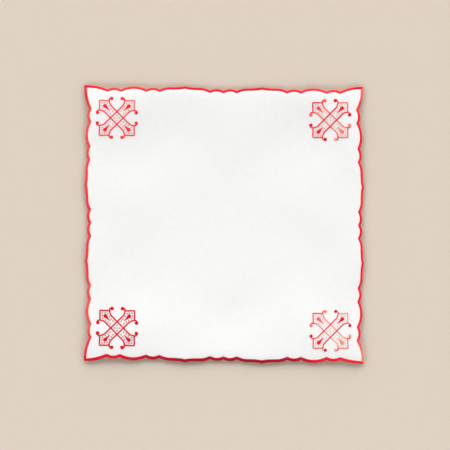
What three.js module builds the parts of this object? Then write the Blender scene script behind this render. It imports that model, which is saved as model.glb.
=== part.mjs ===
// Embroidered napkin: one square of white cloth, with a red corded edging stitched over its scalloped rim.
// Millimetres, +Z up. The napkin lies flat with its face up: +X runs to its right and +Y to its far side.
// The origin is at the middle of the underside, on the surface that the napkin lies on.
import * as THREE from "three";

// Thickness and section of the two pieces.
const CLOTH_THICKNESS = 1.0;
const EDGING_WIDTH = 4.0;
const EDGING_HEIGHT = 1.6;
const EDGING_ROUNDING = 0.45;
const GAP = 0.3; // between the cloth's rim and the edging's inner wall

// Corner tips of the edging's middle line, going round the napkin clockwise as seen from above.
// The napkin isn't quite square: hand-guided stitching has pulled each side a few millimetres.
const CORNERS = {
  far_left: { x: -197.0, y: 196.6 },
  far_right: { x: 196.7, y: 194.1 },
  near_right: { x: 197.8, y: -196.6 },
  near_left: { x: -197.8, y: -192.6 },
};

// Each side runs from one corner tip to the next. Two rows of numbers say how uneven it is, in millimetres at
// the five stations. "dips" is how far the cusps between its scallops lie inside the straight line that joins
// the tips. "drifts" is how far the scallops have slipped towards the next tip, or back where it is negative.
const SIDES = [
  {
    from: "far_left",
    to: "far_right",
    dips: [6.1, 5.7, 7.2, 6.9, 7.2],
    drifts: [-0.9, -0.4, -0.5, -0.3, 1.0],
  },
  {
    from: "far_right",
    to: "near_right",
    dips: [7.4, 5.1, 4.9, 5.9, 7.5],
    drifts: [-0.8, 0.5, 0.1, 0.0, 1.0],
  },
  {
    from: "near_right",
    to: "near_left",
    dips: [5.3, 5.0, 4.7, 5.9, 6.8],
    drifts: [0.0, 1.1, 0.8, 0.8, 2.2],
  },
  {
    from: "near_left",
    to: "far_left",
    dips: [7.5, 6.7, 6.7, 5.1, 6.9],
    drifts: [-0.2, 0.6, 0.3, 0.5, 0.0],
  },
];
const STATIONS = [0.1, 0.25, 0.5, 0.75, 0.9]; // as shares of the side's length

// One side's row of scallops, in order. All four sides have the same row.
// span is the length along the side, and steps the straight pieces that the curve is made of.
const SCALLOPS = [
  { shape: "tip_start", span: 32.3, steps: 7 },
  { shape: "small", span: 19.0, steps: 6 },
  { shape: "large", span: 36.2, steps: 8 },
  { shape: "small", span: 19.0, steps: 6 },
  { shape: "brace", span: 72.0, steps: 16 },
  { shape: "small", span: 19.0, steps: 6 },
  { shape: "small", span: 19.0, steps: 6 },
  { shape: "brace", span: 72.0, steps: 16 },
  { shape: "small", span: 19.0, steps: 6 },
  { shape: "large", span: 36.2, steps: 8 },
  { shape: "small", span: 19.0, steps: 6 },
  { shape: "tip_end", span: 32.3, steps: 7 },
];
const SIDE_SPAN = SCALLOPS.reduce((sum, scallop) => sum + scallop.span, 0);

// How far the crowns stand out from the line through the cusps.
const SMALL_RISE = 2.6;
const LARGE_RISE = 4.4;
const BRACE_SHOULDER_RISE = 3.8;
const BRACE_POINT_RISE = 1.8; // more than the shoulder's
const BRACE_SHOULDER_SHARE = 0.4; // of the way from the cusp to the middle point
const BRACE_POINT_POWER = 5;
const TIP_POWER = 2.2; // how long the edge stays straight beside a corner tip

// Height of a round scallop over its cusps, with u from 0 to 1 along it.
const crown = (u, rise) => rise * (1 - (2 * u - 1) ** 2);

// Height of a brace, which is a round shoulder at each end and a small point in the middle.
function brace(u) {
  const v = 1 - Math.abs(2 * u - 1); // 0 at a cusp, 1 at the point
  const shoulder = 1 - (1 - Math.min(v / BRACE_SHOULDER_SHARE, 1)) ** 2;
  return BRACE_SHOULDER_RISE * shoulder + BRACE_POINT_RISE * v ** BRACE_POINT_POWER;
}

// Depth of the edge inside the line between two corner tips, for one scallop's shape.
// dip is the cusp line's own depth there, and cuspDip its depth at the cusp beside a tip.
function depth(shape, u, dip, cuspDip) {
  if (shape === "tip_start") return cuspDip * u ** TIP_POWER;
  if (shape === "tip_end") return cuspDip * (1 - u) ** TIP_POWER;
  if (shape === "brace") return dip - brace(u);
  return dip - crown(u, shape === "large" ? LARGE_RISE : SMALL_RISE);
}

// The value at a share t of the side, straight between the stations and level outside them.
function between(t, stations, values) {
  const last = stations.length - 1;
  if (t <= stations[0]) return values[0];
  if (t >= stations[last]) return values[last];
  const i = stations.findIndex((station) => station > t) - 1;
  const share = (t - stations[i]) / (stations[i + 1] - stations[i]);
  return values[i] + share * (values[i + 1] - values[i]);
}

// Points of the edging's middle line along one side. The tip at its far end belongs to the next side.
function sidePoints({ from, to, dips, drifts }) {
  const start = new THREE.Vector2(CORNERS[from].x, CORNERS[from].y);
  const end = new THREE.Vector2(CORNERS[to].x, CORNERS[to].y);
  const length = start.distanceTo(end);
  const along = end.clone().sub(start).normalize();
  const inward = new THREE.Vector2(along.y, -along.x);
  const points = [];
  let spanBefore = 0;
  for (const { shape, span, steps } of SCALLOPS) {
    const startDip = between(spanBefore / SIDE_SPAN, STATIONS, dips);
    const endDip = between((spanBefore + span) / SIDE_SPAN, STATIONS, dips);
    const cuspDip = shape === "tip_start" ? endDip : startDip;
    for (let step = 0; step < steps; step++) {
      const u = step / steps;
      const dip = startDip + u * (endDip - startDip);
      const share = (spanBefore + u * span) / SIDE_SPAN;
      const drift = between(share, [0, ...STATIONS, 1], [0, ...drifts, 0]); // the tips stay where they are
      points.push(
        start
          .clone()
          .addScaledVector(along, share * length + drift)
          .addScaledVector(inward, depth(shape, u, dip, cuspDip)),
      );
    }
    spanBefore += span;
  }
  return points;
}

// A closed line moved outwards by a distance, or inwards where it is negative, with mitred corners.
function offset(points, distance) {
  const count = points.length;
  return points.map((point, i) => {
    const before = point.clone().sub(points[(i + count - 1) % count]).normalize();
    const after = points[(i + 1) % count].clone().sub(point).normalize();
    const outward = new THREE.Vector2(-before.y - after.y, before.x + after.x).normalize();
    const half = outward.dot(new THREE.Vector2(-after.y, after.x)); // cosine of half the turn
    return point.clone().addScaledVector(outward, distance / half);
  });
}

// Moves a closed line so that the box round its outermost run has its middle at the origin.
function centred(points, reach) {
  const box = new THREE.Box2().setFromPoints(offset(points, reach));
  const middle = box.getCenter(new THREE.Vector2());
  return points.map((point) => point.clone().sub(middle));
}

const edgeLine = centred(SIDES.flatMap(sidePoints), EDGING_WIDTH / 2);

// The cloth: a flat sheet that ends just inside the edging.
function clothGeometry() {
  const rim = new THREE.Shape(offset(edgeLine, -EDGING_WIDTH / 2 - GAP));
  return new THREE.ExtrudeGeometry(rim, { depth: CLOTH_THICKNESS, bevelEnabled: false });
}

// The edging: a closed band with all four of its long edges rounded off.
function edgingGeometry() {
  const reach = EDGING_WIDTH / 2 - EDGING_ROUNDING;
  const band = new THREE.Shape(offset(edgeLine, reach));
  band.holes.push(new THREE.Path(offset(edgeLine, -reach).reverse())); // a hole runs the other way round
  const geometry = new THREE.ExtrudeGeometry(band, {
    depth: EDGING_HEIGHT - 2 * EDGING_ROUNDING,
    bevelThickness: EDGING_ROUNDING,
    bevelSize: EDGING_ROUNDING,
    bevelSegments: 1,
  });
  return geometry.translate(0, 0, EDGING_ROUNDING);
}

// Finishes.
const whiteCloth = new THREE.MeshStandardMaterial({ color: 0xf7f6f2, roughness: 0.9, metalness: 0 });
const redThread = new THREE.MeshStandardMaterial({ color: 0xe0202e, roughness: 0.45, metalness: 0 });

const napkin = new THREE.Group();

const cloth = new THREE.Mesh(clothGeometry(), whiteCloth);
cloth.name = "cloth";
napkin.add(cloth);

const edging = new THREE.Mesh(edgingGeometry(), redThread);
edging.name = "edging";
napkin.add(edging);

export default napkin;
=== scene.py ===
# %% [markdown]
# # An embroidered napkin
#
# This lesson dresses the flat CAD model of a table napkin with real cloth and real stitches. The napkin
# lies spread out on a table with its face up. It has a scalloped rim, a red satin-stitched edging all
# round it, and one red ornament in each corner.
#
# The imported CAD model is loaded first, as a fixed frame. Every piece made here rides on its one body and
# goes where the CAD model says. Lengths are in metres, and MM turns a size in millimetres into metres.

# %% Load the frame
import math

import bpy
import numpy as np
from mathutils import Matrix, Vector


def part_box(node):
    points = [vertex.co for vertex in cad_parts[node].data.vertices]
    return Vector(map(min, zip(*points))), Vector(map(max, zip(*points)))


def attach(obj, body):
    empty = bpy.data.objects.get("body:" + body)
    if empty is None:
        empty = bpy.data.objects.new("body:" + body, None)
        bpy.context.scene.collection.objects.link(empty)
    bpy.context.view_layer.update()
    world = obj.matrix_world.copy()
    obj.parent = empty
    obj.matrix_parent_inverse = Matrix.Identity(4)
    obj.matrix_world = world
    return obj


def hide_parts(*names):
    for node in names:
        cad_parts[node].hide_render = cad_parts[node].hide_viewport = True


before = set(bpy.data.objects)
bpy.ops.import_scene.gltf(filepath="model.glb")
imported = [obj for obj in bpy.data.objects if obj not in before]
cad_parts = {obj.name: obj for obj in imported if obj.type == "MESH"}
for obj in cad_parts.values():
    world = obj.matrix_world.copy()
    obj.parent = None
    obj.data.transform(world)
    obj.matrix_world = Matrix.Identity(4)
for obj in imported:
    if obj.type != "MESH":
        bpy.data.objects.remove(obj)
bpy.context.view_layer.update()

MM = 0.001
edging_low, edging_high = (np.array(corner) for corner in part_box("edging"))
print("napkin across and up:", np.round((edging_high - edging_low)[:2] / MM, 1), "mm")

# %% [markdown]
# ## Camera
#
# The napkin is seen from straight above. A near camera would spread its raised rim outwards, so the
# camera stands far above the table and looks down through a long lens. It is made first, so that every
# later step can be looked at.

# %% Camera straight above the napkin
VIEW_WIDTH = 0.6413  # how much of the table it takes in
CAMERA_HEIGHT = 8.0
CAMERA_AIM = (1.5 * MM, -0.9 * MM)  # the napkin is a little off the middle of the view

bpy.context.scene.view_settings.view_transform = "Standard"
bpy.ops.object.camera_add(location=(*CAMERA_AIM, CAMERA_HEIGHT), rotation=(0, 0, 0))
camera = bpy.context.object
camera.data.lens = camera.data.sensor_width * CAMERA_HEIGHT / VIEW_WIDTH
bpy.context.scene.camera = camera
print("lens", round(camera.data.lens, 1), "mm")

# %% [markdown]
# ## The rim
#
# A scalloped rim is one row of bows, the same on all four sides. Each side starts and ends in a corner
# tip, and between the tips come small and large round bows and two braces, which are wide bows with a
# point in the middle. These are the CAD model's own sizes, in millimetres.
#
# A hand-guided rim is never quite even, so two rows of numbers say what each side does at five stations
# on its way from tip to tip. Its dip is how far the cusps between the bows lie inside the straight line
# between the tips. Its drift is how far the bows have slipped on towards the next tip.
#
# A curve drawn by hand could follow this rim too, but a formula for each bow keeps its shape the same
# all round.

# %% Sizes of the rim
CORNERS = {
    "far_left": (-197.0, 196.6),
    "far_right": (196.7, 194.1),
    "near_right": (197.8, -196.6),
    "near_left": (-197.8, -192.6),
}
SIDES = {  # the tips that each side joins
    "far": ("far_left", "far_right"),
    "right": ("far_right", "near_right"),
    "near": ("near_right", "near_left"),
    "left": ("near_left", "far_left"),
}
STATIONS = (0.1, 0.25, 0.5, 0.75, 0.9)  # as shares of the side's length
DIPS = {
    "far": (6.1, 5.7, 7.2, 6.9, 7.2),
    "right": (7.4, 5.1, 4.9, 5.9, 7.5),
    "near": (5.3, 5.0, 4.7, 5.9, 6.8),
    "left": (7.5, 6.7, 6.7, 5.1, 6.9),
}
DRIFTS = {
    "far": (-0.9, -0.4, -0.5, -0.3, 1.0),
    "right": (-0.8, 0.5, 0.1, 0.0, 1.0),
    "near": (0.0, 1.1, 0.8, 0.8, 2.2),
    "left": (-0.2, 0.6, 0.3, 0.5, 0.0),
}
print(len(SIDES), "sides, and", len(STATIONS), "stations on each")

# %% The bows of one side
BOWS = [  # shape, length along the side, and cells of cloth behind it
    ("tip_start", 32.3, 17),
    ("small", 19.0, 10),
    ("large", 36.2, 18),
    ("small", 19.0, 10),
    ("brace", 72.0, 35),
    ("small", 19.0, 10),
    ("small", 19.0, 10),
    ("brace", 72.0, 35),
    ("small", 19.0, 10),
    ("large", 36.2, 18),
    ("small", 19.0, 10),
    ("tip_end", 32.3, 17),
]
SIDE_SPAN = sum(span for _, span, _ in BOWS)
SIDE_CELLS = sum(cells for _, _, cells in BOWS)
SMALL_RISE = 2.6
LARGE_RISE = 4.4
SHOULDER_RISE = 3.8  # of a brace
SHOULDER_SHARE = 0.4  # of the way from the cusp to the point
POINT_RISE = 1.8  # more than the shoulder's
POINT_POWER = 5
TIP_POWER = 2.2  # how long the rim stays straight beside a tip
print(len(BOWS), "bows on each side, with", SIDE_CELLS, "cells of cloth behind them")


# %% The rim as points
def bow_depth(shape, u, dip, cusp_dip):
    """How far the rim lies inside the line from tip to tip, with u from 0 to 1 along one bow."""
    if shape == "tip_start":
        return cusp_dip * u**TIP_POWER
    if shape == "tip_end":
        return cusp_dip * (1 - u) ** TIP_POWER
    if shape == "brace":
        v = 1 - abs(2 * u - 1)  # 0 at a cusp, 1 at the point
        shoulder = 1 - (1 - np.minimum(v / SHOULDER_SHARE, 1)) ** 2
        return dip - SHOULDER_RISE * shoulder - POINT_RISE * v**POINT_POWER
    rise = LARGE_RISE if shape == "large" else SMALL_RISE
    return dip - rise * (1 - (2 * u - 1) ** 2)


def side_frame(side):
    """A side's start, its direction, its inward direction and its length, in metres."""
    start, end = (np.array(CORNERS[tip]) * MM for tip in SIDES[side])
    length = np.linalg.norm(end - start)
    along = (end - start) / length
    inward = np.array([along[1], -along[0]])
    return start, along, inward, length


def rim_side(side, finer=1):
    """Points along one side of the rim, from tip to tip. finer is the number of points for each cell."""
    start, along, inward, length = side_frame(side)
    points = []
    before = 0.0
    for shape, span, cells in BOWS:
        u = np.arange(cells * finer) / (cells * finer)
        ends = [before / SIDE_SPAN, (before + span) / SIDE_SPAN]
        start_dip, end_dip = np.interp(ends, STATIONS, DIPS[side])
        dip = start_dip + u * (end_dip - start_dip)
        depth = bow_depth(shape, u, dip, end_dip if shape == "tip_start" else start_dip)
        share = (before + u * span) / SIDE_SPAN
        drift = np.interp(share, (0, *STATIONS, 1), (0, *DRIFTS[side], 0))  # the tips stay in place
        points.append(start + np.outer(share * length + drift * MM, along) + np.outer(depth * MM, inward))
        before += span
    return np.concatenate([*points, [start + along * length]])


rim = np.concatenate([rim_side(side)[:-1] for side in SIDES])
rim_next = np.roll(rim, -1, axis=0)
print("edging reaches past its middle line by", np.round((edging_high[:2] - rim.max(axis=0)) / MM, 2), "mm")

# %% [markdown]
# ## How the cloth lies
#
# A napkin is never flat as a board. Dense stitching tightens the rim, so the rim stands a few
# millimetres off the table, higher in some places than in others, and small puckers run in from it. The
# plain middle lies on the table with a few long, low swells. Around each ornament the stitches draw the
# cloth together a little.
#
# A simulation could settle a sheet, but it gives no say in where the swells go. So the height is a formula
# with these listed sizes, and both the cloth and the stitches on it ask the same formula how high they lie.

# %% Sizes of the rim's lift and puckers
CLOTH_THICKNESS = 0.45 * MM
REST_HEIGHT = 0.35 * MM  # of the cloth's middle layer, where it lies flat
LIFTS = {  # millimetres, at even stations from tip to tip
    "far": (2.6, 4.4, 4.9, 4.3, 4.8, 4.2, 4.9, 4.4, 2.6),
    "right": (2.6, 4.2, 5.1, 4.3, 4.8, 5.1, 4.3, 4.8, 2.9),
    "near": (2.9, 5.1, 5.7, 5.3, 5.1, 5.8, 5.1, 5.4, 2.9),
    "left": (2.9, 4.8, 4.4, 5.3, 4.4, 5.1, 4.4, 4.6, 2.6),
}
LIFT_REACH = 105 * MM  # how far in from the side the cloth is lifted
REACH_CHANGE = 0.3  # the share by which that reach grows and shrinks along the side
REACH_WAVES = 2.3
ROLL = 1.2 * MM  # how far the rim turns down again, below the crest just inside it
ROLL_REACH = 4 * MM
PUCKERS_PER_SIDE = 41
PUCKER_HEIGHT = 0.12 * MM
PUCKER_REACH = 9 * MM
PUCKER_DRIFT = 0.4  # how far the puckers slip along the side, as a share of one of them
DRIFT_WAVES = 3
print("highest lift of a side:", max(max(lifts) for lifts in LIFTS.values()), "mm")


# %% Height that a side gives the cloth
def ease(share):
    """Goes smoothly from 0 to 1 as share does, and stays there outside that range."""
    share = np.clip(share, 0, 1)
    return share * share * (3 - 2 * share)


def along_stations(values, share):
    """Values at even stations from 0 to 1, joined by smooth steps."""
    place = np.clip(share, 0, 1) * (len(values) - 1)
    before = np.minimum(place.astype(int), len(values) - 2)
    values = np.array(values)
    return values[before] + (values[before + 1] - values[before]) * ease(place - before)


def side_height(x, y, side, phase):
    """The lift, the turned-down rim and the puckers of one side. phase shifts its waves."""
    start, along, inward, length = side_frame(side)
    share = ((x - start[0]) * along[0] + (y - start[1]) * along[1]) / length
    inside = (x - start[0]) * inward[0] + (y - start[1]) * inward[1]
    reach = LIFT_REACH * (1 + REACH_CHANGE * np.sin(2 * np.pi * REACH_WAVES * share + 2 * phase))
    lift = along_stations(LIFTS[side], share) * MM * (1 - ease(inside / reach))

    points = rim_side(side)
    rim_depth = np.interp(share, (points - start) @ along / length, (points - start) @ inward)
    from_rim = inside - rim_depth
    roll = ROLL * np.where(from_rim > 0, np.exp(-from_rim / ROLL_REACH), 1 - from_rim / ROLL_REACH)
    drift = PUCKER_DRIFT * np.sin(2 * np.pi * DRIFT_WAVES * share + phase)
    ripple = np.sin(2 * np.pi * (PUCKERS_PER_SIDE * share + drift))
    pucker = PUCKER_HEIGHT * ripple * np.exp(-np.maximum(from_rim, 0) / PUCKER_REACH)
    return lift - roll + pucker


far_middle = rim_side("far")[SIDE_CELLS // 2]
print("the far side lifts its rim's middle by", round(side_height(*far_middle, "far", 0) / MM, 2), "mm")

# %% Sizes of the swells, and where the ornaments are
SWELLS = [  # middle x and y, long and short reach, turn in degrees, height, all lengths in millimetres
    (-60, 72, 90, 40, 25, 0.8),
    (78, 38, 110, 34, -35, 0.7),
    (10, -82, 120, 42, 12, 0.9),
    (-112, -36, 80, 30, 72, 0.6),
    (124, -86, 85, 34, 55, 0.7),
    (-28, 142, 100, 28, -6, 0.5),
    (46, 128, 60, 24, 40, 0.4),
    (-88, -140, 90, 30, 18, 0.6),
]
ORNAMENTS = {  # millimetres and degrees, then what its stitches read further on
    "far_left": {"middle": (-152.5, 151.65), "turn": -0.5, "weight": 1.06, "tone": 0.37, "glint": 0.03},
    "far_right": {"middle": (151.4, 148.6), "turn": 0.2, "weight": 1.14, "tone": 0.48, "glint": 0.24},
    "near_left": {"middle": (-152.2, -147.5), "turn": -0.8, "weight": 1.24, "tone": 0.16, "glint": 0.02},
    "near_right": {"middle": (151.7, -151.6), "turn": 0.1, "weight": 0.93, "tone": 0.52, "glint": 0.32},
}
ORNAMENT_HALF = 30 * MM
ORNAMENT_LIFT = 0.3 * MM  # the threads on the underside hold the cloth up
LIFT_EDGE = 0.9 * ORNAMENT_HALF  # where the cloth starts to come down again
ORNAMENT_PUCKERS = 8
ORNAMENT_PUCKER = 0.07 * MM
PUCKER_RING = 1.1 * ORNAMENT_HALF  # the radius at which they are highest
PUCKER_RING_WIDTH = 0.35 * ORNAMENT_HALF
print(len(SWELLS), "swells, and puckers round", len(ORNAMENTS), "ornaments")


# %% Height of the cloth
def swell_height(x, y, swell):
    """One long, low swell."""
    middle_x, middle_y, long_reach, short_reach, turn, height = swell
    cosine, sine = math.cos(math.radians(turn)), math.sin(math.radians(turn))
    dx, dy = x / MM - middle_x, y / MM - middle_y
    lengthways = (dx * cosine + dy * sine) / long_reach
    sideways = (dy * cosine - dx * sine) / short_reach
    return height * MM * np.exp(-(lengthways**2 + sideways**2))


def ornament_height(x, y, middle):
    """The lift and the puckers round one ornament."""
    dx, dy = x - middle[0] * MM, y - middle[1] * MM
    away = np.hypot(dx, dy)
    lift = ORNAMENT_LIFT * (1 - ease((away - LIFT_EDGE) / ORNAMENT_HALF))
    ring = np.exp(-(((away - PUCKER_RING) / PUCKER_RING_WIDTH) ** 2))
    return lift + ORNAMENT_PUCKER * np.cos(ORNAMENT_PUCKERS * np.arctan2(dy, dx)) * ring


def cloth_height(x, y):
    """Height of the cloth's middle layer over the table, for arrays of places in metres."""
    height = np.full(np.shape(x), REST_HEIGHT)
    for phase, side in enumerate(SIDES):
        height += side_height(x, y, side, phase)
    for swell in SWELLS:
        height += swell_height(x, y, swell)
    for ornament in ORNAMENTS.values():
        height += ornament_height(x, y, ornament["middle"])
    return height


rim_heights = cloth_height(rim[:, 0], rim[:, 1])
print("rim lies", np.round([rim_heights.min() / MM, rim_heights.max() / MM], 2), "mm over the table")

# %% [markdown]
# ## Meshes from arrays
#
# The napkin carries several thousand stitches. Adding each one as an object would be slow, so the
# stitches of one side or one ornament are worked out together as arrays of points, and one helper turns
# the arrays into a mesh. The helper also writes a UV map that runs along each thread, and a tone for
# each thread, which the finish reads.


# %% Helper that makes a mesh
def mesh_object(name, points, faces, uvs=None, tones=None):
    """One object from points and faces, with a UV pair for each face corner and a tone for each face.

    faces is a list of arrays, and all faces in one array have the same number of corners.
    """
    corners = np.concatenate([group.ravel() for group in faces])
    sizes = np.concatenate([np.full(len(group), group.shape[1]) for group in faces])
    mesh = bpy.data.meshes.new(name)
    mesh.vertices.add(len(points))
    mesh.vertices.foreach_set("co", points.astype(np.float32).ravel())
    mesh.loops.add(len(corners))
    mesh.loops.foreach_set("vertex_index", corners.astype(np.int32))
    mesh.polygons.add(len(sizes))
    mesh.polygons.foreach_set("loop_start", (np.cumsum(sizes) - sizes).astype(np.int32))
    mesh.update(calc_edges=True)
    if uvs is not None:
        mesh.uv_layers.new(name="along_thread").data.foreach_set("uv", uvs.astype(np.float32).ravel())
    if tones is not None:
        mesh.attributes.new("tone", "FLOAT", "FACE").data.foreach_set("value", tones.astype(np.float32))
    mesh.shade_smooth()
    made = bpy.data.objects.new(name, mesh)
    bpy.context.collection.objects.link(made)
    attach(made, "root")
    print(name, (sizes - 2).sum(), "triangles")
    return made


# %% [markdown]
# ## The cloth
#
# The cloth is one sheet, cut to the rim. A flat grid would have a stepped edge there, so the grid is
# bent to its four sides instead, as a patch stretched between four curves: each inner point is blended
# from the points across from it on the sides, less the part that the corners would count twice.
# Solidify then gives the sheet its thickness.


# %% Sheet between the four sides
def stretch_between(far, near, left, right):
    """A grid of points between four sides. far and near run to the right, left and right to the far side."""
    count = len(far) - 1
    u = (np.arange(count + 1) / count)[:, None, None]
    v = (np.arange(count + 1) / count)[None, :, None]
    sides = (1 - v) * near[:, None] + v * far[:, None] + (1 - u) * left[None] + u * right[None]
    corners = (1 - u) * ((1 - v) * near[0] + v * far[0]) + u * ((1 - v) * near[-1] + v * far[-1])
    return sides - corners


def grid_quads(rows, columns):
    """Corners of the cells of a grid whose points are numbered row by row."""
    first = (np.arange(rows - 1)[:, None] * columns + np.arange(columns - 1)).ravel()
    return np.stack([first, first + columns, first + columns + 1, first + 1], axis=1)


patch = stretch_between(rim_side("far"), rim_side("near")[::-1], rim_side("left"), rim_side("right")[::-1])
flat_points = patch.reshape(-1, 2)
cloth_points = np.column_stack([flat_points, cloth_height(flat_points[:, 0], flat_points[:, 1])])
cloth_quads = grid_quads(SIDE_CELLS + 1, SIDE_CELLS + 1)
cloth = mesh_object("woven_cloth", cloth_points, [cloth_quads])

# %% Thickness of the cloth
bpy.ops.object.select_all(action="DESELECT")
bpy.context.view_layer.objects.active = cloth
cloth.select_set(True)
thickness = cloth.modifiers.new("thickness", "SOLIDIFY")
thickness.thickness = CLOTH_THICKNESS
thickness.offset = 0  # half above and half below the sheet
bpy.ops.object.modifier_apply(modifier=thickness.name)
lowest = min(vertex.co.z for vertex in cloth.data.vertices)
print("cloth:", len(cloth.data.polygons) * 2, "triangles, lowest point", round(lowest / MM, 2), "mm")

# %% [markdown]
# ## The edging
#
# The edging is satin stitch: thread goes over the rim, round it and back, turn after turn, with each
# turn laid close beside the last. Under the turns lies a padding cord, which gives the edging its round
# section and keeps the cloth from showing between them.
#
# A band with a striped bump would look like stitches from straight above. Each turn is modelled as a
# closed ring of thread instead, so that the edging is as real from the side and from below. At a corner
# tip the turns of the two sides meet on a slanting line, as a picture frame's mitre does, so the turns
# there grow shorter from the inside. Round a cusp they fan out.

# %% Sizes of the edging
EDGING_HALF = 2.0 * MM  # half its width at the tips
OUTER_HALVES = {"far": 1.9, "right": 2.0, "near": 2.4, "left": 2.0}  # elsewhere, in millimetres
INNER_HALVES = {"far": 1.85, "right": 1.7, "near": 2.4, "left": 2.15}
EVEN_LENGTH = 15 * MM  # over which both come back to EDGING_HALF towards a tip
EDGING_BULGE = 0.75 * MM  # half its height, with the padding inside it
SHORT_TURN_POWER = 0.5  # how fast the short turns at a mitre lose height
MITRE_OVERLAP = 0.35 * MM
TURN_SPACING = 0.5 * MM
TURN_POINTS = 12
TANGENT_REACH = 1.3 * MM  # how far along the rim the turns' direction is averaged
THREAD_HALF_WIDTH = 0.32 * MM
THREAD_HALF_HEIGHT = 0.17 * MM
SPACING_SPREAD = 0.05 * TURN_SPACING  # no two turns are laid quite alike
REACH_SPREAD = 0.035 * MM
BULGE_SPREAD = 0.02 * MM
SLANT_SPREAD = 0.09 * MM
TONE_SPREAD = 0.03
# Painted light: these tones paint shade and highlight into each side's edging. The near side is deepest, as
# painted shade, and the left side palest, as a painted highlight.
SIDE_LIGHT_TONES = {  # at even stations from tip to tip, where 0 is the deepest red and 1 the palest
    "far": (0.3, 0.48, 0.42, 0.22, 0.28, 0.21, 0.36, 0.5, 0.2),
    "right": (0.7, 0.32, 0.34, 0.42, 0.3, 0.34, 0.32, 0.32, 0.85),
    "near": (0.38, 0.35, 0.08, 0.0, 0.04, 0.03, 0.08, 0.28, 0.16),
    "left": (0.25, 0.58, 0.53, 0.48, 0.46, 0.5, 0.55, 0.6, 0.35),
}
random = np.random.default_rng(7)
rim_length = np.linalg.norm(rim_next - rim, axis=1).sum()
print("the rim is", round(rim_length, 3), "m long, for about", round(rim_length / TURN_SPACING), "turns")


# %% A side's middle line, which can be asked for any place
def side_line(side):
    """Functions for the middle line's place and direction at a length along it, and its whole length."""
    points = rim_side(side, finer=4)
    steps = np.linalg.norm(np.diff(points, axis=0), axis=1)
    at = np.concatenate([[0], np.cumsum(steps)])
    first, last = (points[1] - points[0]) / steps[0], (points[-1] - points[-2]) / steps[-1]

    def place(spots):
        """Points on the middle line, which runs straight on past its two tips."""
        inner = np.stack([np.interp(spots, at, points[:, axis]) for axis in (0, 1)], axis=1)
        before, beyond = np.minimum(spots, 0), np.maximum(spots - at[-1], 0)
        return inner + np.outer(before, first) + np.outer(beyond, last)

    def direction(spots):
        """Directions of the line, averaged over a short stretch of it."""
        chord = place(spots + TANGENT_REACH) - place(spots - TANGENT_REACH)
        return chord / np.linalg.norm(chord, axis=1)[:, None]

    return place, direction, at[-1]


def left_of(direction):
    """Directions a quarter turn to the left. For a side that is outwards, as the sides run clockwise."""
    return np.stack([-direction[:, 1], direction[:, 0]], axis=1)


def resting(middle, outward):
    """The height and the slope outwards of the edging, for places on its middle line."""
    inside, outside = (cloth_height(*(middle + outward * reach).T) for reach in (-EDGING_HALF, EDGING_HALF))
    return (inside + outside) / 2, (outside - inside) / (2 * EDGING_HALF)


print("the far side's middle line is", round(side_line("far")[2] / MM, 1), "mm long")

# %% [markdown]
# ## Threads as tubes
#
# A thread is a tube along a line. Its section is flat on the side that shows, because neighbouring
# threads press each other flat. A full circle of points would look rounder close up but cost many more
# faces, so the section has only five points, and smooth shading rounds it.

# %% Faces and UV pairs of threads
# Across the thread and up, as shares of its half width and half height.
PROFILE = np.array([(1, 0), (0.5, 0.9), (-0.5, 0.9), (-1, 0), (0, -1)])


def thread_quads(threads, places, sides, closed=True):
    """Faces of many threads, whose points are numbered by thread, then place along it, then section."""
    place = np.arange(places if closed else places - 1)[:, None]
    next_place = (place + 1) % places
    side = np.arange(sides)
    next_side = (side + 1) % sides
    corners = [(place, side), (place, next_side), (next_place, next_side), (next_place, side)]
    one_thread = np.stack([(along * sides + around).ravel() for along, around in corners], axis=1)
    return (np.arange(threads)[:, None, None] * places * sides + one_thread).reshape(-1, 4)


def thread_uvs(threads, lengths, places, sides, closed=True):
    """UV pairs for those faces: millimetres along the thread, and the share of the way round its section."""
    cells = places if closed else places - 1
    start = np.repeat(np.arange(cells), sides) / cells
    end = start + 1 / cells
    low = np.tile(np.arange(sides), cells) / sides
    high = low + 1 / sides
    uvs = np.empty((threads, cells * sides, 4, 2))
    uvs[..., 0] = np.stack([start, start, end, end], axis=1) * (lengths / MM)[:, None, None]
    uvs[..., 1] = np.stack([low, high, high, low], axis=1)
    return uvs.reshape(-1, 2)


print("one turn has", len(thread_quads(1, TURN_POINTS, len(PROFILE))), "faces")


# %% Where the turns of one side lie
def turn_places(side, length):
    """Where the turns of one side lie along it, and how far each reaches in and out of its middle line."""
    whole = length + 2 * EDGING_HALF
    count = int(whole / TURN_SPACING)
    spots = -EDGING_HALF + (np.arange(count) + 0.5) * whole / count
    spots += random.normal(0, SPACING_SPREAD, count)
    from_tip = np.minimum(spots, length - spots)
    outer_end, inner_half = (
        EDGING_HALF + (halves[side] * MM - EDGING_HALF) * ease(from_tip / EVEN_LENGTH)
        for halves in (OUTER_HALVES, INNER_HALVES)
    )
    inner_end = np.maximum(-inner_half, -from_tip - MITRE_OVERLAP)  # cut along the mitre at each tip
    kept = outer_end - inner_end > 2 * THREAD_HALF_WIDTH
    return spots[kept], inner_end[kept], outer_end[kept]


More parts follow.
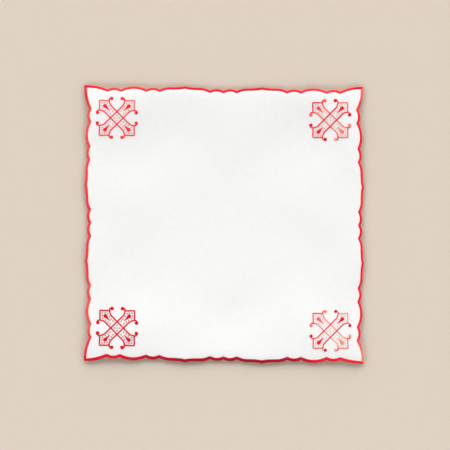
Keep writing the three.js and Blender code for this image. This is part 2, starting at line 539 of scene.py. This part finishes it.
# %% Rings of thread
def turn_rings(centre, along, inner_end, outer_end):
    """Points of the closed rings of thread round the rim, and the length of thread in each."""
    count = len(centre)
    half, middle = (outer_end - inner_end) / 2, (outer_end + inner_end) / 2
    reach = half - THREAD_HALF_HEIGHT + random.normal(0, REACH_SPREAD, count)
    bulge = (EDGING_BULGE - THREAD_HALF_HEIGHT) * np.minimum(half / EDGING_HALF, 1) ** SHORT_TURN_POWER
    bulge = bulge + random.normal(0, BULGE_SPREAD, count)
    slant = random.normal(0, SLANT_SPREAD, count)

    # One oval for each turn: how far out and up each of its points is, and which way is off the cord there.
    angle = 2 * np.pi * np.arange(TURN_POINTS) / TURN_POINTS
    out, up = reach[:, None] * np.cos(angle), bulge[:, None] * np.sin(angle)
    off_out, off_up = bulge[:, None] * np.cos(angle), reach[:, None] * np.sin(angle)
    size = np.hypot(off_out, off_up)
    off_out, off_up = off_out / size, off_up / size
    out = out + middle[:, None]
    lean = slant[:, None] * np.cos(angle)

    outward = left_of(along)
    height, slope = resting(centre, outward)
    base = np.column_stack([centre, height])[:, None, None]
    outward_3d = np.column_stack([outward, slope])[:, None, None]
    along_3d = np.column_stack([along, np.zeros(count)])[:, None, None]
    upward_3d = np.array([0.0, 0.0, 1.0])
    wide = PROFILE[:, 0, None] * THREAD_HALF_WIDTH
    high = PROFILE[:, 1, None] * THREAD_HALF_HEIGHT
    points = (
        base
        + outward_3d * (out[..., None, None] + high * off_out[..., None, None])
        + upward_3d * (up[..., None, None] + high * off_up[..., None, None])
        + along_3d * (wide + lean[..., None, None])
    )
    lengths = 2 * np.pi * np.hypot(reach, bulge) / math.sqrt(2)  # of an oval, roughly
    return points.reshape(-1, 3), lengths


# %% The four sides of the edging
def edging_side(side):
    """All turns of thread on one side, as one piece."""
    place, direction, length = side_line(side)
    spots, inner_end, outer_end = turn_places(side, length)
    count = len(spots)
    points, lengths = turn_rings(place(spots), direction(spots), inner_end, outer_end)
    quads = thread_quads(count, TURN_POINTS, len(PROFILE))
    uvs = thread_uvs(count, lengths, TURN_POINTS, len(PROFILE))
    # The side's tones are painted shade and highlight, with a small random spread.
    tones = along_stations(SIDE_LIGHT_TONES[side], spots / length) + random.normal(0, TONE_SPREAD, count)
    tones = np.repeat(tones, TURN_POINTS * len(PROFILE))
    return mesh_object(f"edging_{side}", points, [quads], uvs, tones)


edging_pieces = [edging_side(side) for side in SIDES]

# %% [markdown]
# ## The padding cord
#
# The cord under the turns is one closed tube along the rim. Its section is a flat oval, a little smaller
# than the turns around it. A bevelled curve would give a round cord at once, but it wouldn't tilt with
# the rim's slope, so the cord is made from arrays too.

# %% Padding cord
PADDING_HALF_WIDTH = 1.45 * MM
PADDING_HALF_HEIGHT = 0.42 * MM
PADDING_SIDES = 8
PADDING_SPACING = 1.0 * MM


def padding_cord():
    """One closed tube along all four sides."""
    middles = []
    outwards = []
    for side in SIDES:
        place, direction, length = side_line(side)
        spots = np.linspace(0, length, int(length / PADDING_SPACING))[1:-1]
        middles.append(place(spots))
        outwards.append(left_of(direction(spots)))
    middle, outward = np.concatenate(middles), np.concatenate(outwards)
    height, slope = resting(middle, outward)
    angle = 2 * np.pi * np.arange(PADDING_SIDES) / PADDING_SIDES
    out = PADDING_HALF_WIDTH * np.cos(angle)
    flat = middle[:, None] + outward[:, None] * out[:, None]
    heights = height[:, None] + slope[:, None] * out + PADDING_HALF_HEIGHT * np.sin(angle)
    points = np.concatenate([flat, heights[..., None]], axis=2).reshape(-1, 3)
    quads = thread_quads(1, len(middle), PADDING_SIDES)
    return mesh_object("padding_cord", points, [quads], tones=np.zeros(len(quads)))


padding = padding_cord()

# %% [markdown]
# ## The ornament
#
# The ornament in each corner is a folk pattern of two pairs of crossed bands. Their lines curl inwards
# at the ends and finish in a dot, a bracket closes each arm, a drop lies in each arm, and small seed
# stitches fill the rest.
#
# All of it is satin stitch, which makes a line of any width out of short threads laid across it. So each
# part is a middle line with a width at every place, and one function lays the threads across it. The
# sizes are in millimetres about the ornament's middle. One arm is designed once, and turning it makes
# the others.

# %% Sizes of the ornament
LINE_HALF = 0.8
CROSSING = 9.1  # how far from the middle two lines cross, roughly
BEND_END = 10.85  # how far to the side a line runs once it has bent straight out
BEND_RADIUS = 11.2
BRACKET_FOOT = 24.5  # how far out the bracket stands on the line
BRACKET_OUT = 24.9
BRACKET_ROUNDING = 1.0
CURL_RISE = 1.9  # straight piece before the curl
CURL_START_RADIUS = 2.6
CURL_END_RADIUS = 1.5
CURL_TURN = 125  # degrees
DOT_RADIUS = 2.3
DROP_TIP = 14.0  # places along the arm's middle line
DROP_HEAD = 23.7
DROP_HEAD_RADIUS = 2.85
DROP_TIP_HALF = 0.5
DROP_TAPER = 1.7
SEED_RADIUS = 0.7
ARM_SEEDS = [  # on one side of the arm's middle line, where the other side has its mirror image
    (17.4, 21.4),
    (13.8, 20.6),
    (10.9, 16.4),
    (8.3, 12.8),
    (5.9, 9.6),
]
ARM_END_SEED = (21.2, 21.2)
CENTRE_SEED = 3.7  # how far out the four seeds round the middle one lie
print("the ornament has", 4 * (2 * len(ARM_SEEDS) + 2) + 1, "seeds")


# %% The ornament's lines
def arc(centre, start_radius, end_radius, start_angle, turn, count):
    """Points on an arc whose radius may change on the way. Angles are in degrees."""
    share = np.linspace(0, 1, count)
    angle = np.radians(start_angle + turn * share)
    radius = start_radius + (end_radius - start_radius) * share
    return np.array(centre) + np.stack([radius * np.cos(angle), radius * np.sin(angle)], axis=1)


def long_line():
    """The line that runs from the lower left to the upper right, on the upper left of the middle."""
    bend_centre = (BEND_END - BEND_RADIUS, BRACKET_FOOT)
    bend = arc(bend_centre, BEND_RADIUS, BEND_RADIUS, -45, 45, count=16)
    curl_centre = (BEND_END - CURL_START_RADIUS, BRACKET_FOOT + CURL_RISE)
    curl = arc(curl_centre, CURL_START_RADIUS, CURL_END_RADIUS, 0, CURL_TURN, count=24)
    upper = np.concatenate([bend, curl])
    lower = np.stack([-upper[:, 1], -upper[:, 0]], axis=1)[::-1]
    return np.concatenate([lower, upper])


def bracket():
    """The line that closes an arm, which bows out a little and has a rounded corner."""
    middle = BRACKET_OUT - BRACKET_ROUNDING
    corner = arc((middle, middle), BRACKET_ROUNDING, BRACKET_ROUNDING, 90, -90, count=8)
    foot = (BEND_END + LINE_HALF, BRACKET_FOOT)
    return np.concatenate([[foot], corner, [foot[::-1]]])


def lengths_along(points):
    """The length along a line at which each of its points lies."""
    steps = np.linalg.norm(np.diff(points, axis=0), axis=1)
    return np.concatenate([[0], np.cumsum(steps)])


print("a long line is", round(lengths_along(long_line())[-1], 1), "mm long")

# %% [markdown]
# ## Threads across a line
#
# A line of satin stitch is laid thread by thread: each goes straight across, from one side of the line
# to the other, and the next lies close beside it. A dot and a drop are lines too, short ones whose width
# changes on the way. So one function serves all the parts, and it takes the width either as a number or
# as a function of the share of the way along.

# %% Sizes of the stitches
STITCH_SPACING = 0.45  # millimetres
DIRECTION_REACH = 0.4  # millimetres each way, over which a line's direction is averaged
LEAST_IN_DOT = 0.1  # square of the shortest thread's length, where the longest has length 1
LEAST_IN_DROP = 0.05
DOT_RIM_RISE = 0.7  # rises are shares of STITCH_RISE, which comes further on
DOT_CROWN_RISE = 0.6
DROP_TIP_RISE = 0.6
DROP_HEAD_RISE = 0.7  # more than at its tip
CROSSING_RISE = 0.9  # more where the lines that were stitched last go over the first
CROSSING_REACH = 1.2
print("threads in ten millimetres of a line:", round(10 / STITCH_SPACING))


# %% Threads laid across a line
def lay_across(points, half_width, rise=1.0):
    """Start and end points of threads laid across a line, and how high each rises."""
    at = lengths_along(points)
    count = max(int(round(at[-1] / STITCH_SPACING)), 2)
    spots = (np.arange(count) + 0.5) * at[-1] / count
    share = spots / at[-1]
    place, ahead, behind = (
        np.stack([np.interp(spots + shift, at, points[:, axis]) for axis in (0, 1)], axis=1)
        for shift in (0, DIRECTION_REACH, -DIRECTION_REACH)
    )
    along = (ahead - behind) / np.linalg.norm(ahead - behind, axis=1)[:, None]
    half = half_width(share) if callable(half_width) else np.full(count, half_width)
    height = rise(share) if callable(rise) else np.full(count, rise)
    sideways = left_of(along) * half[:, None]
    return place - sideways, place + sideways, height


def half_circle(share, least=0.0):
    """Height of a half circle of radius 1 over its base, at a share of the way across it."""
    return np.sqrt(np.maximum(1 - (2 * share - 1) ** 2, least))


print("a long line has", len(lay_across(long_line(), LINE_HALF)[0]), "threads")


# %% Dots and drops
def disc(centre, radius, angle):
    """Threads that fill a round dot, laid side by side in the direction of the angle."""
    along = radius * np.array([math.cos(angle), math.sin(angle)])
    return lay_across(
        np.array(centre) + np.array([-along, along]),
        lambda share: radius * half_circle(share, LEAST_IN_DOT),
        lambda share: DOT_RIM_RISE + DOT_CROWN_RISE * half_circle(share),
    )


def drop():
    """Threads of a drop along the arm's middle line, which has a thin tail and a round head."""
    end = DROP_HEAD + DROP_HEAD_RADIUS
    diagonal = np.array([1, 1]) / math.sqrt(2)

    def half(share):
        """Half the drop's width."""
        place = DROP_TIP + share * (end - DROP_TIP)
        tail_share = (np.minimum(place, DROP_HEAD) - DROP_TIP) / (DROP_HEAD - DROP_TIP)
        tail = DROP_TIP_HALF + (DROP_HEAD_RADIUS - DROP_TIP_HALF) * tail_share**DROP_TAPER
        from_head = (place - DROP_HEAD) / DROP_HEAD_RADIUS
        head = DROP_HEAD_RADIUS * np.sqrt(np.maximum(1 - from_head**2, LEAST_IN_DROP))
        return np.where(place > DROP_HEAD, head, tail)

    ends = np.array([diagonal * DROP_TIP, diagonal * end])
    return lay_across(ends, half, lambda share: DROP_TIP_RISE + DROP_HEAD_RISE * share)


print("a drop has", len(drop()[0]), "threads")

# %% [markdown]
# ## Tones of the threads
#
# Silky thread looks paler where it turns its shine to the light, and deeper where it doesn't. The two
# ornaments to the right show that most: the threads of one diagonal are pale there, and those of the other
# deep. The lamps alone give too little of it, so this sheen is painted into a tone of each thread's own. An
# ornament's tone holds for all its threads, and is paler in the two to the right. Its glint is the painted
# sheen, which says how much paler or deeper the threads grow with the way they run. Its glare is a painted
# highlight that makes its seeds and some of its brackets paler.

# %% Sizes of the tones
# Painted glare: how much paler the seeds and the brackets are painted. Where a value is below zero, it is a
# little painted shade.
PAINTED_GLARE = {  # for the seeds, then for the brackets, of which the first closes the arm to the upper right
    "far_left": (0.25, (0.25, 0.22, 0.03, -0.05)),
    "far_right": (0.45, (0.28, -0.25, 0.03, 0.2)),
    "near_left": (0.0, (0.0, 0.0, 0.0, 0.0)),
    "near_right": (0.6, (0.75, -0.2, 0.08, 0.12)),
}
GLINT_SLOPE = 0.012  # more glint for each millimetre to the lower right
LINE_SHINE = 1.1  # how much of the glint each part shows
DOT_SHINE = 1.5
DROP_SHINE = 0.75
SEED_SHINE = 0.6
DEEPEST_TONE = 0.12
DOT_TURN_SPREAD = 0.2


# %% All threads of one ornament
def rotated(points, degrees):
    """Points turned about the middle, to the left where degrees is positive."""
    cosine, sine = math.cos(math.radians(degrees)), math.sin(math.radians(degrees))
    x, y = points[:, 0], points[:, 1]
    return np.stack([x * cosine - y * sine, x * sine + y * cosine], axis=1)


def ornament_threads(weight, seed_glare, bracket_glare):
    """Start, end, rise, shine and painted glare of all threads. The weight makes all but the drops wider."""
    parts = []

    def add(threads, quarter, shine, glare=0.0):
        """Adds the threads of one part, turned to its quarter of the ornament."""
        start, end, rise = threads
        turned = (rotated(points, 90 * quarter) for points in (start, end))
        parts.append((*turned, rise, np.full(len(rise), shine), np.full(len(rise), glare)))

    line = long_line()
    line_length = lengths_along(line)[-1]
    line_half = LINE_HALF * weight
    dot_radius = DOT_RADIUS * math.sqrt(weight)
    seed_radius = SEED_RADIUS * weight
    seeds = [ARM_END_SEED, (0, CENTRE_SEED)]
    for x, y in ARM_SEEDS:
        seeds += [(x, y), (y, x)]

    def over(share):
        """The pair of lines that was stitched last rises where it crosses the first pair."""
        from_crossing = abs(share - 0.5) * line_length - CROSSING / math.sqrt(2)
        return 1 + CROSSING_RISE * np.exp(-((from_crossing / CROSSING_REACH) ** 2))

    for quarter in range(4):
        stitched_last = quarter % 2 == 0
        add(lay_across(line, line_half, over if stitched_last else 1.0), quarter, LINE_SHINE)
        add(lay_across(bracket(), line_half), quarter, LINE_SHINE, bracket_glare[quarter])
        add(drop(), quarter, DROP_SHINE)
        for centre in (line[-1], line[-1][::-1]):
            angle = np.pi / 4 + random.normal(0, DOT_TURN_SPREAD)
            add(disc(centre, dot_radius, angle), quarter, DOT_SHINE)
        for seed in seeds:
            add(disc(seed, seed_radius, random.uniform(0, np.pi)), quarter, SEED_SHINE, seed_glare)
    add(disc((0, 0), seed_radius, random.uniform(0, np.pi)), 0, SEED_SHINE, seed_glare)
    return tuple(np.concatenate(column) for column in zip(*parts))


# %% Tones of an ornament's threads
def thread_tones(place, span, shine, glare, tone, glint):
    """The tone of each thread, with a painted sheen that depends on its place in the ornament and on the way
    it runs, and a painted glare.
    """
    rising = 2 * span[:, 0] * span[:, 1] / (span**2).sum(axis=1)  # 1 towards the upper right, -1 across it
    glint = glint * shine * (1 + GLINT_SLOPE * (place[:, 0] - place[:, 1]))
    return np.maximum(tone + glare + glint * rising, DEEPEST_TONE)


# %% [markdown]
# ## Stitches over the cloth
#
# A satin stitch comes up through the cloth at one end, arches over it, and goes down at the other end.
# The thread then runs back underneath, so the underside shows the whole design too, a little flatter.
# Each stitch is therefore two arches of thread, one over the cloth and one under it. A flat red print
# would look right from above, but it would have no shadows and no round threads close up.

# %% Sizes of the arches
STITCH_RISE = 0.42 * MM  # of the thread over the cloth
UNDER_RISE = 0.16 * MM
MOST_UNDER_RISE = 1.2  # as a share of UNDER_RISE
OVER_PLACES = 5  # along each arch
UNDER_PLACES = 3
END_TAPER = 0.6  # how wide a thread is where it goes into the cloth
STITCH_WOBBLE = 0.04 * MM
print("most stitches stand about", round((STITCH_RISE + THREAD_HALF_HEIGHT) / MM, 2), "mm off the cloth")


# %% Arches of thread
def stitch_mesh(name, start, end, rise, foot_z, places, tone):
    """Threads that arch from start to end over the cloth, or under it where rise is negative."""
    count, sides = len(start), len(PROFILE)
    share = np.linspace(0, 1, places)
    arch = half_circle(share)
    arch_slope = np.gradient(arch, share)
    span = end - start
    length = np.linalg.norm(span, axis=1)
    run = span / length[:, None]
    middle = start[:, None] + span[:, None] * share[:, None]
    height = cloth_height(middle[..., 0], middle[..., 1]) + foot_z + rise[:, None] * arch
    off_run = -rise[:, None] * arch_slope
    size = np.hypot(off_run, length[:, None])
    off_run, off_up = off_run / size, length[:, None] / size

    wide = PROFILE[:, 0] * THREAD_HALF_WIDTH
    high = PROFILE[:, 1] * THREAD_HALF_HEIGHT
    taper = np.where((share == 0) | (share == 1), END_TAPER, 1.0)
    sideways = left_of(run)[:, None, None] * (wide[:, None] * taper[:, None, None])
    lengthways = run[:, None, None] * (off_run[:, :, None] * high)[..., None]
    points = np.empty((count, places, sides, 3))
    points[..., :2] = middle[:, :, None] + sideways + lengthways
    points[..., 2] = height[..., None] + off_up[..., None] * high

    quads = thread_quads(count, places, sides, closed=False)
    first = np.arange(count)[:, None] * places * sides
    backwards = np.arange(sides)[::-1]
    start_caps = first + backwards
    end_caps = first + places * sides - 1 - backwards
    uvs = thread_uvs(count, length, places, sides, closed=False)
    uvs = np.concatenate([uvs, np.zeros((2 * count * sides, 2))])
    tones = np.concatenate([np.repeat(tone, (places - 1) * sides), tone, tone])
    return mesh_object(name, points.reshape(-1, 3), [quads, start_caps, end_caps], uvs, tones)


# %% The four ornaments
def embroider(corner, middle, turn, weight, tone, glint):
    """The stitches of one ornament, over and under the cloth."""
    start, end, rise, shine, glare = ornament_threads(weight, *PAINTED_GLARE[corner])
    place = (start + end) / 2
    start, end = (rotated(points, turn) * MM + np.array(middle) * MM for points in (start, end))
    start, end = (points + random.normal(0, STITCH_WOBBLE, points.shape) for points in (start, end))
    # The tones hold the painted sheen and glare, with a small random spread.
    tones = thread_tones(place, end - start, shine, glare, tone, glint)
    tones += random.normal(0, TONE_SPREAD, len(rise))
    name, foot_z = f"ornament_{corner}", CLOTH_THICKNESS / 2
    over = stitch_mesh(name, start, end, rise * STITCH_RISE, foot_z, OVER_PLACES, tones)
    under_rise = -np.minimum(rise, MOST_UNDER_RISE) * UNDER_RISE
    under = stitch_mesh(f"{name}_underside", start, end, under_rise, -foot_z, UNDER_PLACES, tones)
    return over, under


ornament_pieces = []
for corner, ornament in ORNAMENTS.items():
    ornament_pieces += embroider(corner, **ornament)

# %% [markdown]
# ## Finish of the cloth
#
# The cloth is plain woven: its threads cross at right angles, each going over one and under the next.
# The weave is finer than a view of the whole napkin can show, so it is bump, which changes how the
# surface takes the light and leaves its shape alone. Two sine waves multiplied give its chequered relief.
# Noise drawn out along each thread direction gives the thick and thin places of spun yarn. Modelled
# threads would be more real close up, but they would cross half a million times.


# %% Helpers for materials
def new_material(name, values):
    """A material, its tree of nodes and its shader. values are those of the shader's named inputs."""
    material = bpy.data.materials.new(name)
    material.use_nodes = True
    shader = material.node_tree.nodes["Principled BSDF"]
    for socket, value in values.items():
        shader.inputs[socket].default_value = value
    return material, material.node_tree, shader


def math_node(tree, operation, first, second=None):
    """The result of a sum with one or two values, each a number or another node's result."""
    node = tree.nodes.new("ShaderNodeMath")
    node.operation = operation
    for socket, value in zip(node.inputs, (first, second)):
        if isinstance(value, (int, float)):
            socket.default_value = value
        elif value is not None:
            tree.links.new(value, socket)
    return node.outputs[0]


def noise_node(tree, place, waves):
    """Noise from 0 to 1. waves says how many it has in a metre, along each of the three axes."""
    mapping = tree.nodes.new("ShaderNodeMapping")
    mapping.inputs["Scale"].default_value = waves
    tree.links.new(place, mapping.inputs["Vector"])
    noise = tree.nodes.new("ShaderNodeTexNoise")
    noise.inputs["Scale"].default_value = 1
    noise.inputs["Detail"].default_value = 2
    tree.links.new(mapping.outputs[0], noise.inputs["Vector"])
    return noise.outputs["Fac"]


# %% Helpers for colour and relief
def add_colours(tree, shader, value, stops):
    """Colours the surface by a value, with a ramp whose stops are pairs of a position and a colour."""
    ramp = tree.nodes.new("ShaderNodeValToRGB")
    elements = ramp.color_ramp.elements
    for position, colour in stops[1:-1]:
        elements.new(position).color = colour
    for element, (position, colour) in ((elements[0], stops[0]), (elements[-1], stops[-1])):
        element.position = position
        element.color = colour
    tree.links.new(value, ramp.inputs[0])
    tree.links.new(ramp.outputs[0], shader.inputs["Base Color"])


def add_bump(tree, shader, height, strength, distance):
    """Gives the surface a relief."""
    bump = tree.nodes.new("ShaderNodeBump")
    bump.inputs["Strength"].default_value = strength
    bump.inputs["Distance"].default_value = distance
    tree.links.new(height, bump.inputs["Height"])
    tree.links.new(bump.outputs[0], shader.inputs["Normal"])


# %% Woven white cloth
CLOTH_GLOSS = {"Roughness": 0.85, "Specular IOR Level": 0.12, "Sheen Weight": 0.05}
CLOTH_COLOURS = [  # from thin yarn to thick yarn
    (0.35, (0.905, 0.9, 0.89, 1)),
    (0.6, (0.94, 0.94, 0.935, 1)),
]
YARN_WAVES = [(60, 900, 1), (900, 60, 1)]  # for the threads that run across, and for those that run up
WEAVE_PITCH = 0.55 * MM
WEAVE_SHARE = 0.5  # how much of its wave goes into the relief, beside the yarn's unevenness
WEAVE_BUMP = 0.45
WEAVE_RELIEF = 0.08 * MM


def woven_material():
    """White cloth with the relief of a plain weave."""
    material, tree, shader = new_material("white_woven_cloth", CLOTH_GLOSS)
    place = tree.nodes.new("ShaderNodeTexCoord").outputs["Object"]
    split = tree.nodes.new("ShaderNodeSeparateXYZ")
    tree.links.new(place, split.inputs[0])
    phases = [math_node(tree, "MULTIPLY", split.outputs[axis], math.pi / WEAVE_PITCH) for axis in "XY"]
    weave = math_node(tree, "MULTIPLY", *(math_node(tree, "SINE", phase) for phase in phases))

    unevenness = math_node(tree, "ADD", *(noise_node(tree, place, waves) for waves in YARN_WAVES))
    average = math_node(tree, "MULTIPLY", unevenness, 0.5)
    add_colours(tree, shader, average, CLOTH_COLOURS)
    relief = math_node(tree, "ADD", math_node(tree, "MULTIPLY", weave, WEAVE_SHARE), unevenness)
    add_bump(tree, shader, relief, WEAVE_BUMP, WEAVE_RELIEF)
    return material


cloth.data.materials.append(woven_material())
print("the weave repeats every", round(2 * WEAVE_PITCH / MM, 2), "mm")

# %% [markdown]
# ## Finish of the thread
#
# Embroidery thread is shiny because its fibres lie side by side, and it is twisted from two strands. Part of
# the shine comes from the round threads themselves and their gloss, and the rest is painted sheen in each
# thread's tone. The twist is a slanting wave along each thread's own UV map. The tone that each thread got
# above picks its colour on a ramp from deep to pale red. The tone holds the painted sheen, glare, shade and
# highlight, and a small random spread, so that neighbours differ a little, as dyed threads do. One finish
# for all threads is easier to change than one for each tone, and it leaves no steps between tones.

# %% Red embroidery thread
THREAD_GLOSS = {"Roughness": 0.4, "Specular IOR Level": 0.15}
# The pale end of the ramp serves the painted sheen and glare, and the deep end serves the painted shade.
THREAD_COLOURS = [  # tone, colour
    (0.0, (0.45, 0.002, 0.014, 1)),
    (0.3, (0.97, 0.01, 0.036, 1)),
    (0.5, (0.97, 0.05, 0.06, 1)),
    (1.0, (0.96, 0.42, 0.30, 1)),
]
DYE_WAVES = (55, 55, 55)
DYE_UNEVENNESS = 0.12  # how much of the ramp it covers
STRANDS = 2
TWIST_WAVES_PER_MM = 1.1
TWIST_BUMP = 0.5
TWIST_RELIEF = 0.05 * MM


def thread_material():
    """Red thread, coloured by its tone, with the relief of its twist."""
    material, tree, shader = new_material("red_embroidery_thread", THREAD_GLOSS)
    tone = tree.nodes.new("ShaderNodeAttribute")
    tone.attribute_name = "tone"
    place = tree.nodes.new("ShaderNodeTexCoord").outputs["Object"]
    noise = math_node(tree, "SUBTRACT", noise_node(tree, place, DYE_WAVES), 0.5)
    unevenness = math_node(tree, "MULTIPLY", noise, DYE_UNEVENNESS)
    add_colours(tree, shader, math_node(tree, "ADD", tone.outputs["Fac"], unevenness), THREAD_COLOURS)

    uv = tree.nodes.new("ShaderNodeUVMap")
    uv.uv_map = "along_thread"
    split = tree.nodes.new("ShaderNodeSeparateXYZ")
    tree.links.new(uv.outputs[0], split.inputs[0])
    along = math_node(tree, "MULTIPLY", split.outputs["X"], 2 * math.pi * TWIST_WAVES_PER_MM)
    around = math_node(tree, "MULTIPLY", split.outputs["Y"], 2 * math.pi * STRANDS)
    twist = math_node(tree, "SINE", math_node(tree, "ADD", along, around))
    add_bump(tree, shader, twist, TWIST_BUMP, TWIST_RELIEF)
    return material


red_thread = thread_material()
thread_pieces = [*edging_pieces, padding, *ornament_pieces]
for piece in thread_pieces:
    piece.data.materials.append(red_thread)
print(len(thread_pieces), "pieces of thread have the red finish")

# %% [markdown]
# ## Table and light
#
# A plain pale table lies under the napkin. The light comes from all round, as in a bright room: five
# large soft lamps stand in a ring, rather low, and the one beyond the far side is the strongest. Together
# they leave a soft dark line round the raised rim, which is widest on the near side, and they bring out
# the rounded stitches. One lamp straight above would leave no shadow there, and a bright world only a
# faint one, so the world is weak and just fills the shadows in.
#
# Each lamp's level is how much it gives the table. All six levels together make 1, at which a colour
# shows about as it is written.

# %% Table
TABLE_COLOUR = (0.745, 0.645, 0.545, 1)
TABLE_GLOSS = {"Roughness": 0.9, "Specular IOR Level": 0.1}
TABLE_SIZE = 30

bpy.ops.mesh.primitive_plane_add(size=TABLE_SIZE, location=(0, 0, 0))
table = bpy.context.object
table.name = "table"
table_paint, _, _ = new_material("pale_table", {"Base Color": TABLE_COLOUR, **TABLE_GLOSS})
table.data.materials.append(table_paint)
print("the table is", round(TABLE_SIZE / VIEW_WIDTH), "times as wide as the view")

# %% Lamps and world
LAMPS = [  # direction from the napkin to the lamp, and its level
    ("far_lamp", (0, 0.9, 0.4), 0.29),
    ("far_left_lamp", (-0.64, 0.64, 0.4), 0.17),
    ("far_right_lamp", (0.64, 0.64, 0.4), 0.17),
    ("near_left_lamp", (-0.64, -0.64, 0.36), 0.175),
    ("near_right_lamp", (0.64, -0.64, 0.36), 0.175),
]
LAMP_ANGLE = 45  # how wide each looks from the table, in degrees
FILL_LEVEL = 0.02  # of the world

for name, direction, level in LAMPS:
    direction = Vector(direction).normalized()
    rotation = (-direction).to_track_quat("-Z", "Y").to_euler()
    bpy.ops.object.light_add(type="SUN", rotation=rotation)
    lamp = bpy.context.object
    lamp.name = name
    lamp.data.angle = math.radians(LAMP_ANGLE)
    lamp.data.energy = level * math.pi / direction.z

world = bpy.context.scene.world or bpy.data.worlds.new("world")
bpy.context.scene.world = world
world.use_nodes = True
background = world.node_tree.nodes["Background"]
background.inputs["Color"].default_value = (1, 1, 1, 1)
background.inputs["Strength"].default_value = FILL_LEVEL
print("all levels together:", round(FILL_LEVEL + sum(level for _, _, level in LAMPS), 3))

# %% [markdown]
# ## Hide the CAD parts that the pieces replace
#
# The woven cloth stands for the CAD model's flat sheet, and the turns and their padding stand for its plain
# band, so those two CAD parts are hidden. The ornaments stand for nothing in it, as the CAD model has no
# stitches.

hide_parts("cloth")
for piece in [*edging_pieces, padding]:
    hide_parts("edging")
